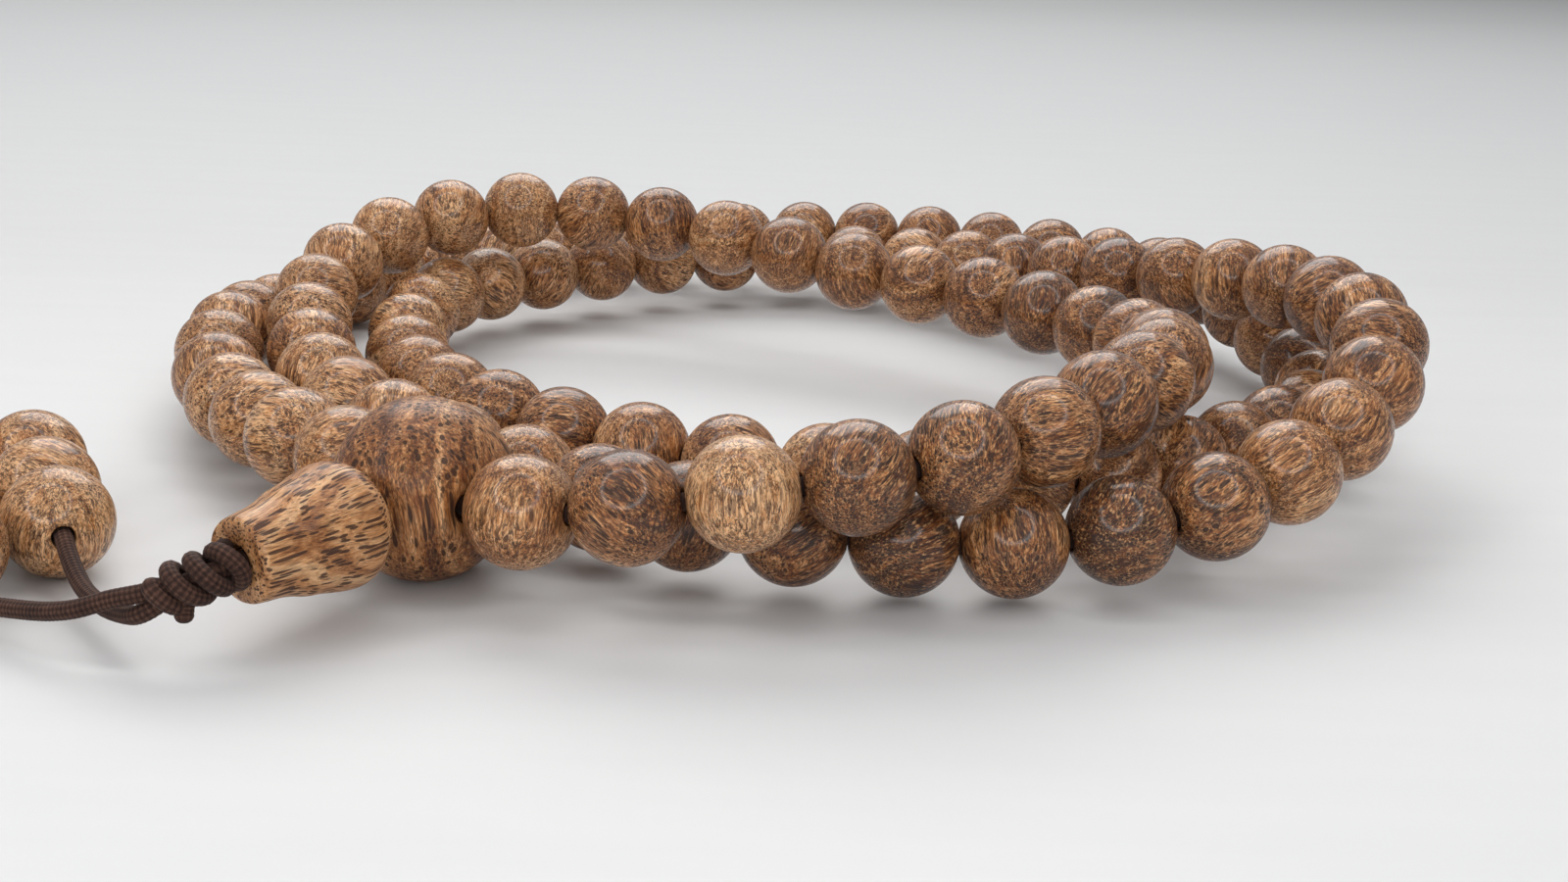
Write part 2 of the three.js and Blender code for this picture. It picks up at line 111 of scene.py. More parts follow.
# ---------------------------------------------------------------- camera
def make_camera():
    height, pitch, roll = 49.322, 0.280078, 0.0333354
    forward = Vector((0, math.cos(pitch), -math.sin(pitch)))
    up0 = Vector((0, math.sin(pitch), math.cos(pitch)))
    right0 = Vector((1, 0, 0))
    right = right0 * math.cos(roll) + up0 * math.sin(roll)
    up = up0 * math.cos(roll) - right0 * math.sin(roll)
    data = bpy.data.cameras.new("camera")
    data.sensor_width = 36.0
    data.lens = 2010.053 * 36.0 / 1600.0
    data.clip_start, data.clip_end = 0.005, 20
    cam = bpy.data.objects.new("camera", data)
    bpy.context.scene.collection.objects.link(cam)
    m = Matrix((right, up, -forward)).transposed().to_4x4()
    m.translation = Vector((1.335, -179.253, height)) * MM
    cam.matrix_world = m
    bpy.context.scene.camera = cam
    return cam


camera = make_camera()


# ---------------------------------------------------------------- mesh helpers, in mm until the object is made
def basis(axis):
    z = Vector(axis).normalized()
    x = Vector((0, 0, 1)) - z * z.z
    if x.length < 1e-6:
        x = Vector((1, 0, 0))
    x.normalize()
    return x, z.cross(x), z


def new_object(name, verts, faces, attributes=None, material=None, smooth=True):
    mesh = bpy.data.meshes.new(name)
    mesh.from_pydata([(v[0] * MM, v[1] * MM, v[2] * MM) for v in verts], [], faces)
    for key, values in (attributes or {}).items():
        if isinstance(values[0], (tuple, list, Vector)):
            layer = mesh.attributes.new(key, "FLOAT_VECTOR", "POINT")
            layer.data.foreach_set("vector", [c for v in values for c in v])
        else:
            layer = mesh.attributes.new(key, "FLOAT", "POINT")
            layer.data.foreach_set("value", list(values))
    mesh.validate()
    mesh.update()
    if smooth:
        mesh.polygons.foreach_set("use_smooth", [True] * len(mesh.polygons))
    o = bpy.data.objects.new(name, mesh)
    bpy.context.scene.collection.objects.link(o)
    if material is not None:
        mesh.materials.append(material)
    return o


class Build:
    """Collects several closed bodies, with their attributes, into one mesh."""

    def __init__(self):
        self.verts, self.faces, self.attributes = [], [], {}

    def add(self, verts, faces, **attributes):
        base = len(self.verts)
        self.verts.extend(verts)
        self.faces.extend(tuple(base + i for i in f) for f in faces)
        for key, values in attributes.items():
            if not isinstance(values, list):
                values = [values] * len(verts)
            self.attributes.setdefault(key, []).extend(values)

    def object(self, name, material):
        return new_object(name, self.verts, self.faces, self.attributes, material)


def lathe(profile, segments):
    """A closed ring of (z, r) points turned about Z: a turned body with a through bore."""
    verts = [
        (r * math.cos(2 * math.pi * j / segments), r * math.sin(2 * math.pi * j / segments), z)
        for z, r in profile
        for j in range(segments)
    ]
    n = len(profile)
    faces = []
    for i in range(n):
        k = (i + 1) % n
        for j in range(segments):
            l = (j + 1) % segments
            faces.append((i * segments + j, i * segments + l, k * segments + l, k * segments + j))
    return verts, faces


def placed(verts, origin, axis, spin=0.0):
    x, y, z = basis(axis)
    if spin:
        x, y = x * math.cos(spin) + y * math.sin(spin), y * math.cos(spin) - x * math.sin(spin)
    o = Vector(origin)
    return [o + x * a + y * b + z * c for a, b, c in verts]


def catmull(points, step):
    """Centripetal spline through the points, then points a step apart along it."""
    p = [Vector(q) for q in points]
    fine = []
    for i in range(len(p) - 1):
        a = p[i - 1] if i > 0 else p[0] * 2 - p[1]
        b, c = p[i], p[i + 1]
        d = p[i + 2] if i + 2 < len(p) else p[-1] * 2 - p[-2]
        t0, t1, t2 = ((v - u).length ** 0.5 for u, v in ((a, b), (b, c), (c, d)))
        t0, t2 = max(t0, 1e-4), max(t2, 1e-4)
        m1 = ((b - a) / t0 - (c - a) / (t0 + t1) + (c - b) / t1) * t1
        m2 = ((c - b) / t1 - (d - b) / (t1 + t2) + (d - c) / t2) * t1
        for k in range(40):
            s = k / 40
            fine.append(
                b + m1 * s + (b * -3 + c * 3 - m1 * 2 - m2) * s * s + (b * 2 - c * 2 + m1 + m2) * s**3
            )
    fine.append(p[-1])
    return resample(fine, step)


def resample(points, step):
    total = sum((b - a).length for a, b in zip(points, points[1:]))
    count = max(2, round(total / step))
    out, i, done = [points[0].copy()], 0, 0.0
    for k in range(1, count):
        want = total * k / count
        while i < len(points) - 2 and done + (points[i + 1] - points[i]).length < want:
            done += (points[i + 1] - points[i]).length
            i += 1
        leg = points[i + 1] - points[i]
        out.append(points[i] + leg * min(1.0, (want - done) / max(leg.length, 1e-9)))
    out.append(points[-1].copy())
    return out


def smoothed(points, rounds):
    """Relaxes a resampled line, ends fixed."""
    p = [q.copy() for q in points]
    for _ in range(rounds):
        p = [p[0]] + [p[i] * 0.5 + (p[i - 1] + p[i + 1]) * 0.25 for i in range(1, len(p) - 1)] + [p[-1]]
    return p


def path_length(points):
    return sum((b - a).length for a, b in zip(points, points[1:]))


BRAID_PITCH = 0.66
BRAID_STRANDS = 5


def braid(s, a):
    """Height of the braided skin, 0 to 1, at s mm along the cord and angle a."""
    u, v = s / BRAID_PITCH + a * BRAID_STRANDS / (2 * math.pi), s / BRAID_PITCH - a * BRAID_STRANDS / (2 * math.pi)
    return 0.5 + 0.5 * math.sin(2 * math.pi * u) * math.sin(2 * math.pi * v)


def cord_body(points, radius, segments, relief=0.0, closed=False, start=0.0, round_ends=True):
    """A braided cord's skin along a line: (verts, faces, grain, rib)."""
    p = points
    n = len(p)
    tangents = []
    for i in range(n):
        if closed:
            t = p[(i + 1) % n] - p[i - 1]
        else:
            t = p[min(i + 1, n - 1)] - p[max(i - 1, 0)]
        tangents.append(t.normalized())
    x = basis(tangents[0])[0]
    verts, grain, rib = [], [], []
    frames = []
    for i in range(n):
        x = (x - tangents[i] * x.dot(tangents[i])).normalized()
        frames.append((x.copy(), tangents[i].cross(x)))
    twist = 0.0
    if closed:
        last = frames[-1][0]
        last = (last - tangents[0] * last.dot(tangents[0])).normalized()
        twist = math.atan2(last.dot(frames[0][1]), last.dot(frames[0][0]))
    s = start
    for i in range(n):
        if i:
            s += (p[i] - p[i - 1]).length
        fx, fy = frames[i]
        cap = 1.0
        for j in range(segments):
            a = 2 * math.pi * j / segments
            b = a - twist * i / n
            h = braid(s, a)
            r = (radius - relief + relief * h) * cap
            verts.append(p[i] + fx * (r * math.cos(b)) + fy * (r * math.sin(b)))
            grain.append((s, a * radius, r))
            rib.append(h)
    faces = []
    rings = n if closed else n - 1
    for i in range(rings):
        k = (i + 1) % n
        for j in range(segments):
            l = (j + 1) % segments
            faces.append((i * segments + j, i * segments + l, k * segments + l, k * segments + j))
    if not closed:
        for i, sign in ((0, -1), (n - 1, 1)):
            rings_in = []
            for f, push in ((0.8, 0.35), (0.45, 0.55)):
                base = len(verts)
                for j in range(segments):
                    q = verts[i * segments + j]
                    c = p[i]
                    verts.append(c + (q - c) * f + tangents[i] * (sign * push * radius * (1 if round_ends else 0.1)))
                    grain.append((s, 0.0, radius))
                    rib.append(0.4)
                rings_in.append(base)
            chain = [i * segments] + rings_in
            for a0, b0 in zip(chain, chain[1:]):
                for j in range(segments):
                    l = (j + 1) % segments
                    quad = (a0 + j, a0 + l, b0 + l, b0 + j)
                    faces.append(quad if sign > 0 else quad[::-1])
            tip = len(verts)
            verts.append(p[i] + tangents[i] * (sign * 0.62 * radius * (1 if round_ends else 0.1)))
            grain.append((s, 0.0, radius))
            rib.append(0.4)
            b0 = rings_in[-1]
            for j in range(segments):
                l = (j + 1) % segments
                tri = (b0 + j, b0 + l, tip)
                faces.append(tri if sign > 0 else tri[::-1])
    return verts, faces, grain, rib


# ---------------------------------------------------------------- node helpers
class Nodes:
    def __init__(self, material):
        material.use_nodes = True
        self.tree = material.node_tree
        self.shader = self.tree.nodes["Principled BSDF"]
        self.links = self.tree.links

    def set(self, socket, value):
        if isinstance(value, bpy.types.NodeSocket):
            self.links.new(value, socket)
        else:
            socket.default_value = value

    def node(self, kind, out=0, props=None, **inputs):
        n = self.tree.nodes.new(kind)
        for k, v in (props or {}).items():
            setattr(n, k, v)
        for k, v in inputs.items():
            key = int(k[1:]) if k[0] == "i" and k[1:].isdigit() else k.replace("_", " ")
            self.set(n.inputs[key], v)
        return n.outputs[out]

    def attribute(self, name, out="Fac"):
        n = self.tree.nodes.new("ShaderNodeAttribute")
        n.attribute_name = name
        return n.outputs[out]

    def math(self, op, a, b=0.0, c=0.0, clamp=False):
        n = self.tree.nodes.new("ShaderNodeMath")
        n.operation, n.use_clamp = op, clamp
        for i, v in enumerate((a, b, c)):
            self.set(n.inputs[i], v)
        return n.outputs[0]

    def vmath(self, op, a, b=(0, 0, 0), out=0):
        n = self.tree.nodes.new("ShaderNodeVectorMath")
        n.operation = op
        self.set(n.inputs[0], a)
        if op == "SCALE":
            self.set(n.inputs[3], b)
        else:
            self.set(n.inputs[1], b)
        return n.outputs[out]

    def ramp(self, value, low, high, out_low=0.0, out_high=1.0, smooth=True):
        n = self.tree.nodes.new("ShaderNodeMapRange")
        n.interpolation_type = "SMOOTHSTEP" if smooth else "LINEAR"
        n.clamp = True
        for i, v in enumerate((value, low, high, out_low, out_high)):
            self.set(n.inputs[i], v)
        return n.outputs[0]

    def noise(self, vector, scale=1.0, detail=2.0, rough=0.5, out="Fac", distortion=0.0):
        n = self.tree.nodes.new("ShaderNodeTexNoise")
        self.set(n.inputs["Vector"], vector)
        self.set(n.inputs["Scale"], scale)
        self.set(n.inputs["Detail"], detail)
        self.set(n.inputs["Roughness"], rough)
        self.set(n.inputs["Distortion"], distortion)
        return n.outputs[out]

    def voronoi(self, vector, scale=1.0, feature="F1", out="Distance", randomness=1.0):
        n = self.tree.nodes.new("ShaderNodeTexVoronoi")
        n.feature = feature
        self.set(n.inputs["Vector"], vector)
        self.set(n.inputs["Scale"], scale)
        self.set(n.inputs["Randomness"], randomness)
        return n.outputs[out]

    def mix(self, factor, a, b, blend="MIX"):
        n = self.tree.nodes.new("ShaderNodeMix")
        n.data_type, n.blend_type = "RGBA", blend
        n.clamp_factor = True
        self.set(n.inputs[0], factor)
        for i, v in ((6, a), (7, b)):
            self.set(n.inputs[i], v)
        return n.outputs[2]

    def colours(self, factor, stops):
        n = self.tree.nodes.new("ShaderNodeValToRGB")
        r = n.color_ramp
        while len(r.elements) < len(stops):
            r.elements.new(0.5)
        for e, (pos, colour) in zip(r.elements, stops):
            e.position, e.color = pos, colour
        self.set(n.inputs[0], factor)
        return n.outputs[0]


def srgb(r, g, b):
    def lin(c):
        c /= 255
        return c / 12.92 if c <= 0.04045 else ((c + 0.055) / 1.055) ** 2.4

    return (lin(r), lin(g), lin(b), 1.0)


# ---------------------------------------------------------------- wood
def make_wood(name="turned_wood", coat=0.6, coat_rough=0.16, checks=0.85, small=0.8, fibres=1.0, pore_size=1.0):
    material = bpy.data.materials.new(name)
    k = Nodes(material)
    grain = k.attribute("grain", "Vector")
    tone = k.attribute("tone")
    speck = k.attribute("speck")
    pores = k.attribute("pores")

    # the fibres wander a little
    wander = k.noise(k.vmath("MULTIPLY", grain, (0.28, 0.28, 0.10)), detail=2.0, out="Color")
    wander = k.vmath("MULTIPLY", k.vmath("SUBTRACT", wander, (0.5, 0.5, 0.5)), (2.2, 2.2, 0.0))
    g = k.vmath("ADD", grain, wander)

    # growth rings about the pith line
    across = k.vmath("MULTIPLY", g, (1.0, 1.0, 0.0))
    ring = k.vmath("LENGTH", across, out="Value")
    xyz = k.node("ShaderNodeSeparateXYZ", i0=g)
    z = [l for l in (xyz.node.outputs)][2]
    ring_at = k.node("ShaderNodeCombineXYZ", i0=ring, i1=0.0, i2=k.math("MULTIPLY", z, 0.05))
    bands = k.noise(ring_at, scale=1.15, detail=3.0, rough=0.62)
    broad = k.noise(k.vmath("MULTIPLY", g, (0.22, 0.22, 0.07)), detail=1.5)

    # fibre bundles, short dashes of light and dark
    fibre = k.noise(k.vmath("MULTIPLY", g, (8.5, 8.5, 1.25)), detail=3.0, rough=0.65)
    fibre2 = k.noise(k.vmath("MULTIPLY", g, (3.4, 3.4, 0.42)), detail=2.5, rough=0.55)

    # fine dark checks between the fibres
    patch = k.noise(k.vmath("MULTIPLY", g, (0.8, 0.8, 0.5)), detail=1.0)
    line_a = k.ramp(k.math("ABSOLUTE", k.math("SUBTRACT", k.noise(k.vmath("MULTIPLY", g, (2.9, 2.9, 0.50)), detail=2.5, rough=0.6), 0.5)), 0.046, 0.012)
    line_b = k.ramp(k.math("ABSOLUTE", k.math("SUBTRACT", k.noise(k.vmath("ADD", k.vmath("MULTIPLY", g, (5.2, 5.2, 1.3)), (3.1, 8.2, 1.7)), detail=2.0, rough=0.6), 0.5)), 0.040, 0.010)
    lines = k.math("MAXIMUM", line_a, k.math("MULTIPLY", line_b, 0.75))
    lines = k.math("MULTIPLY", lines, k.ramp(patch, 0.25, 0.55, 0.45, 1.0))

    # vessels: long slim cells, dark where they are cut open
    cell_a = k.voronoi(k.vmath("MULTIPLY", g, (2.5, 2.5, 0.34)))
    cell_b = k.voronoi(k.vmath("ADD", k.vmath("MULTIPLY", g, (4.2, 4.2, 0.85)), (7.3, 2.9, 4.1)))
    edge = k.math("MULTIPLY", k.math("SUBTRACT", fibre, 0.5), 0.24)
    pore_a = k.ramp(k.math("ADD", cell_a, edge), 0.33 * pore_size, 0.24 * pore_size)
    pore_b = k.ramp(k.math("ADD", cell_b, edge), 0.31, 0.21)
    pore = k.math("MAXIMUM", pore_a, k.math("MULTIPLY", pore_b, small))
    pore = k.math("MULTIPLY", pore, pores, clamp=True)

    # pale tissue round the vessels and in small flecks
    halo = k.math("MULTIPLY", k.ramp(cell_a, 0.52, 0.30), 0.45)
    fleck_cell = k.voronoi(k.vmath("ADD", k.vmath("MULTIPLY", g, (3.6, 3.6, 1.6)), (1.3, 5.7, 0.4)))
    fleck = k.ramp(k.math("ADD", fleck_cell, edge), 0.42, 0.20)
    pale = k.math("MULTIPLY", k.math("MAXIMUM", fleck, halo), speck, clamp=True)

    level = k.math("MULTIPLY", k.math("SUBTRACT", bands, 0.5), 1.8)
    level = k.math("ADD", level, k.math("MULTIPLY", k.math("SUBTRACT", broad, 0.5), 0.55))
    level = k.math("ADD", level, k.math("MULTIPLY", k.math("SUBTRACT", fibre2, 0.5), 1.2 * fibres))
    level = k.math("ADD", level, k.math("MULTIPLY", k.math("SUBTRACT", fibre, 0.5), 1.45 * fibres))
    level = k.math("ADD", level, tone)
    base = k.colours(
        level,
        [
            (0.0, srgb(240, 190, 140)),
            (0.28, srgb(212, 152, 98)),
            (0.5, srgb(172, 110, 60)),
            (0.75, srgb(118, 66, 32)),
            (1.0, srgb(60, 30, 14)),
        ],
    )
    base = k.mix(k.math("MULTIPLY", pale, 0.80), base, srgb(222, 168, 114))
    dark = k.mix(tone, srgb(74, 40, 24), srgb(34, 18, 11))
    base = k.mix(k.math("MULTIPLY", lines, checks), base, dark)
    base = k.mix(k.math("MULTIPLY", pore, 0.90), base, dark)
    k.set(k.shader.inputs["Base Color"], base)

    rough = k.math("ADD", k.math("MULTIPLY", fibre2, 0.16), 0.38)
    rough = k.math("ADD", rough, k.math("MULTIPLY", pore, 0.28), clamp=True)
    k.set(k.shader.inputs["Roughness"], rough)
    k.shader.inputs["Specular IOR Level"].default_value = 0.25
    k.shader.inputs["Coat Weight"].default_value = coat
    k.shader.inputs["Coat Roughness"].default_value = coat_rough

    height = k.math("SUBTRACT", k.math("MULTIPLY", fibre, 0.30), k.math("MULTIPLY", pore, 0.9))
    height = k.math("SUBTRACT", height, k.math("MULTIPLY", lines, 0.5))
    height = k.math("ADD", height, k.math("MULTIPLY", pale, 0.25))
    bump = k.tree.nodes.new("ShaderNodeBump")
    bump.inputs["Strength"].default_value = 1.0
    bump.inputs["Distance"].default_value = 0.00009
    k.set(bump.inputs["Height"], height)
    k.set(k.shader.inputs["Normal"], bump.outputs[0])
    return material


def make_cord_material():
    material = bpy.data.materials.new("braided_cord")
    k = Nodes(material)
    grain = k.attribute("grain", "Vector")
    rib = k.attribute("rib")
    threads = k.noise(k.vmath("MULTIPLY", grain, (9.0, 3.0, 3.0)), detail=3.0, rough=0.65)
    worn = k.noise(k.vmath("MULTIPLY", grain, (0.5, 0.5, 0.5)), detail=2.0)
    # painted shade and highlight: the braid height (rib) darkens the colour in the grooves between the threads and
    # lightens their crowns; the threads and worn noise are the cord's own colour
    level = k.math("ADD", k.math("MULTIPLY", rib, 0.75), k.math("MULTIPLY", k.math("SUBTRACT", threads, 0.5), 0.9))
    level = k.math("ADD", level, k.math("MULTIPLY", k.math("SUBTRACT", worn, 0.5), 0.5))
    base = k.colours(
        level,
        [(0.0, srgb(26, 15, 12)), (0.35, srgb(60, 39, 32)), (0.7, srgb(94, 66, 53)), (1.0, srgb(134, 100, 80))],
    )
    k.set(k.shader.inputs["Base Color"], base)
    k.set(k.shader.inputs["Roughness"], k.ramp(threads, 0.2, 0.8, 0.62, 0.86, smooth=False))
    k.shader.inputs["Specular IOR Level"].default_value = 0.18
    k.shader.inputs["Sheen Weight"].default_value = 0.04
    k.shader.inputs["Sheen Roughness"].default_value = 0.5
    bump = k.tree.nodes.new("ShaderNodeBump")
    bump.inputs["Strength"].default_value = 0.6
    bump.inputs["Distance"].default_value = 0.00006
    k.set(bump.inputs["Height"], k.math("ADD", k.math("MULTIPLY", threads, 0.6), k.math("MULTIPLY", rib, 0.6)))
    k.set(k.shader.inputs["Normal"], bump.outputs[0])
    return material


wood = make_wood()
guru_wood = make_wood("turned_guru_wood", coat=0.35, coat_rough=0.28, checks=0.65, small=0.6, fibres=0.75, pore_size=1.12)
cap_wood = make_wood("turned_cap_wood", coat=0.4, coat_rough=0.26, checks=0.22, small=0.45, fibres=0.55, pore_size=1.27)
cord_material = make_cord_material()


# ---------------------------------------------------------------- cords
tail_cords = {}
for key in ("a", "b"):
    row = Vector(TAIL_ROW_AXIS).normalized()
    first = Vector(TAIL_FIRST_BEAD[key])
    entry = first - row * BEAD_HALF_LENGTH
    end = first + row * (TAIL_BEAD_PITCH * 2 + BEAD_HALF_LENGTH + TAIL_KNOT_GAP)
    inside = Vector(TAIL_PATH[key][0]) - Vector(KNOT_AXIS).normalized() * 1.5
    inside = inside.lerp(Vector(KNOT_START) + Vector(KNOT_AXIS) * 3.4, 0.55)
    line = catmull([inside, *TAIL_PATH[key], entry], 0.1)
    straight = resample([entry, end], 0.1)
    line = smoothed(line + straight[1:], 60)
    verts, faces, grain, rib = cord_body(line, CORD_RADIUS, 32, relief=0.07)
    b = Build()
    b.add(verts, faces, grain=grain, rib=rib)
    o = b.object(f"tail_cord_skin_{key}", cord_material)
    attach(o, "strung_loop")
    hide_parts(f"tail_cord_{key}")
    tail_cords[key] = (o, line)
    print("tail cord", key, "length mm", round(path_length(line), 2))

# the ring through every loop bead and the guru bead
ring_line = []
for i, p in enumerate(CORD_NODES):
    q = CORD_NODES[(i + 1) % len(CORD_NODES)]
    a, c = Vector(p), Vector(q)
    steps = max(1, round((c - a).length / 0.4))
    ring_line += [a.lerp(c, s / steps) for s in range(steps)]
for _ in range(4):
    n = len(ring_line)
    ring_line = [ring_line[i] * 0.5 + (ring_line[i - 1] + ring_line[(i + 1) % n]) * 0.25 for i in range(n)]
b = Build()
verts, faces, grain, rib = cord_body(ring_line, CORD_RADIUS, 12, relief=0.03, closed=True)
b.add(verts, faces, grain=grain, rib=rib)
cap_end = Vector(CAP_NARROW_END)
cap_axis = Vector(CAP_AXIS).normalized()
stem = resample([cap_end + cap_axis * (CAP_LENGTH + 4.5), cap_end - cap_axis * 0.3], 0.2)
verts, faces, grain, rib = cord_body(stem, CORD_RADIUS, 16, relief=0.04)
b.add(verts, faces, grain=grain, rib=rib)
o = b.object("elastic_cord_skin", cord_material)
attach(o, "strung_loop")
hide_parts("elastic_cord")


def make_knot():
    """Barrel knot: wraps of the cord round the strands, tight against the cap bead, with the last one crossing over to a trimmed stub."""
    b = Build()
    start, axis = Vector(KNOT_START), Vector(KNOT_AXIS).normalized()
    first = Vector(CAP_NARROW_END) - cap_axis * 0.55
    last = start + axis * (KNOT_LENGTH - 0.45)
    bow = (last - first).length * 0.36
    p1, p2 = first - cap_axis * bow, last - axis * bow

    def spine(f):
        g = 1 - f
        at = first * g**3 + p1 * (3 * g * g * f) + p2 * (3 * g * f * f) + last * f**3
        d = (p1 - first) * (3 * g * g) + (p2 - p1) * (6 * g * f) + (last - p2) * (3 * f * f)
        return at, d.normalized()

    rng = random.Random(5)
    wraps, turns, radius = [], 3.95, 1.2
    swell = [rng.uniform(-0.08, 0.08) for _ in range(9)]
    for i in range(int(turns * 36) + 1):
        t = i / 36
        at, d = spine(max(0.0, t - 0.7) / (turns - 0.7))
        x, y, z = basis(d)
        a = 2 * math.pi * (t + 0.05)
        lean = 0.42 * min(1.0, t)
        r = radius + swell[int(t * 2)] * math.sin(math.pi * (t * 2 % 1)) ** 2
        wraps.append(at + z * (lean * math.cos(a + 0.5)) + x * (r * math.cos(a)) + y * (r * math.sin(a)))
    stub = start + axis * (KNOT_LENGTH - 1.9) + Vector(KNOT_NUB) * 0.92
    line = catmull(wraps[:-3] + [stub + Vector((0.12, 0.05, 0.62)), stub, stub + Vector((0.0, -0.12, -0.52))], 0.1)
    line = smoothed(line, 14)
    verts, faces, grain, rib = cord_body(line, 0.64, 24, relief=0.06)
    b.add(verts, faces, grain=grain, rib=rib)
    # the strands inside the wraps, which the tails come out of
    core = [spine(f / 20)[0] for f in range(21)]
    core = resample([first + cap_axis * 1.2] + core, 0.15)
    verts, faces, grain, rib = cord_body(core, 0.66, 16, relief=0.03, start=50.0)
    b.add(verts, faces, grain=grain, rib=rib)
    return b.object("barrel_knot_wraps", cord_material)


knot = make_knot()
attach(knot, "strung_loop")
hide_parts("barrel_knot")


# ---------------------------------------------------------------- wooden pieces
def bead_profile(radius, half):
    """(z, r) round the section of a bored round bead, from the middle of the bore out and back."""
    out = []
    face = 0.95
    end = math.asin(min(1.0, half / radius))
    steps = 15
    for i in range(-steps, steps + 1):
        t = i / steps
        a = end * t
        out.append((radius * math.sin(a), radius * math.cos(a)))
    # softened rim into the bore
    rim = out[-1][1]
    tail = [(half - 0.01, rim - 0.06), (half - 0.06, rim - 0.13), (half - 0.25, 0.80), (half - 1.2, 0.80)]
    out = [(-z, r) for z, r in reversed(tail)] + out + tail
    return out


def wood_attributes(verts, centre, seed, grain_axis=None, pith=None, tone=0.5, speck=0.5, pores=1.0, stretch=1.0):
    rng = random.Random(seed * 7919 + 13)
    if grain_axis is None:
        grain_axis = (rng.gauss(0, 1), rng.gauss(0, 1), rng.gauss(0, 1))
    z = Vector(grain_axis).normalized()
    x = z.orthogonal().normalized()
    a = rng.uniform(0, 2 * math.pi) if pith is None else pith
    y = z.cross(x)
    x, y = x * math.cos(a) + y * math.sin(a), y * math.cos(a) - x * math.sin(a)
    if not isinstance(stretch, tuple):
        stretch = (stretch, stretch, stretch)
    away = rng.uniform(7, 24)
    lift = rng.uniform(-400, 400)
    c = Vector(centre)
    grain = []
    for v in verts:
        d = Vector(v) - c
        grain.append((d.dot(x) / stretch[0] + away, d.dot(y) / stretch[1], d.dot(z) / stretch[2] + lift))
    n = len(verts)
    return dict(grain=grain, tone=[tone] * n, speck=[speck] * n, pores=[pores] * n)


# what each bead that stands out looks like: tone 0 light to 1 dark, pale flecks, dark vessels, grain direction
LOOKS = {
    1: (0.34, 0.35, 0.75, (0.15, 0.25, 1.0)),
    2: (0.60, 0.50, 1.0, (-0.75, 0.35, 0.55)),
    3: (0.08, 0.12, 0.65, (-0.08, 0.1, 1.0)),
    4: (0.66, 0.90, 1.0, (0.35, 0.8, 0.45)),
    5: (0.68, 0.90, 1.0, (0.2, 0.9, 0.35)),
    6: (0.56, 0.75, 1.0, (1.0, 0.35, 0.1)),
    7: (0.58, 0.7, 1.0, (0.5, 0.5, 0.6)),
    8: (0.58, 0.7, 1.0, None),
    33: (0.58, 0.5, 1.0, None),
    34: (0.56, 0.5, 1.0, (0.1, 0.1, 1.0)),
    35: (0.70, 0.6, 1.0, (0.8, 0.3, 0.5)),
    36: (0.76, 0.95, 1.0, (0.7, 0.7, 0.2)),
    37: (0.62, 0.7, 1.0, (-0.15, 0.5, 0.85)),
    38: (0.76, 0.95, 1.0, (0.4, 0.85, 0.2)),
    39: (0.72, 0.85, 1.0, (0.75, 0.2, 0.5)),
    40: (0.34, 0.35, 0.8, (0.8, 0.2, 0.55)),
    41: (0.44, 0.35, 0.8, (0.6, 0.4, 0.7)),
    67: (0.56, 0.6, 1.0, None),
    68: (0.58, 0.6, 1.0, None),
}


def look_of(n, x=0.0):
    rng = random.Random(n * 131 + 7)
    if n in LOOKS:
        return LOOKS[n]
    tone = 0.42 + 0.0034 * x + rng.uniform(-0.12, 0.13)
    speck = rng.uniform(0.3, 0.8)
    pores = rng.uniform(0.7, 1.0)
    return (tone, speck, pores, None)


def add_bead(b, n, a, c, seed):
    a, c = Vector(a), Vector(c)
    centre = (a + c) / 2
    axis = (c - a).normalized()
    rng = random.Random(seed)
    radius = BEAD_RADIUS * rng.uniform(0.988, 1.0)
    verts, faces = lathe(bead_profile(radius, 3.88 * radius / BEAD_RADIUS), 56)
    verts = placed(verts, centre, axis)
    tone, speck, pores, direction = look_of(n, centre.x)
    b.add(verts, faces, **wood_attributes(verts, centre, seed, direction, None, tone, speck, pores))


for first, last in SINGLE_BEADS:
    for n in range(first, last + 1):
        b = Build()
        add_bead(b, n, CORD_NODES[n - 1], CORD_NODES[n], 1000 + n)
        name = f"bead_{n:03d}"
        o = b.object(f"{name}_turned", wood)
        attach(o, name)
        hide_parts(name)

for first, last in BEAD_RUNS:
    b = Build()
    for n in range(first, last + 1):
        add_bead(b, n, CORD_NODES[n - 1], CORD_NODES[n], 1000 + n)
    name = f"bead_run_{first:03d}_{last:03d}"
    o = b.object(f"{name}_turned", wood)
    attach(o, "strung_loop")
    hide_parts(name)

tail_pieces = {"a": [], "b": []}
for key in ("a", "b"):
    row = Vector(TAIL_ROW_AXIS).normalized()
    first = Vector(TAIL_FIRST_BEAD[key])
    for i in range(3):
        centre = first + row * (TAIL_BEAD_PITCH * i)
        b = Build()
        seed = 2000 + 10 * i + (5 if key == "b" else 0)
        n = 300 + seed
        add_bead(b, n, centre - row * 3.915, centre + row * 3.915, seed)
        name = f"tail_bead_{key}{i + 1}"
        o = b.object(f"{name}_turned", wood)
        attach(o, name)
        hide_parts(name)
        tail_pieces[key].append(o)

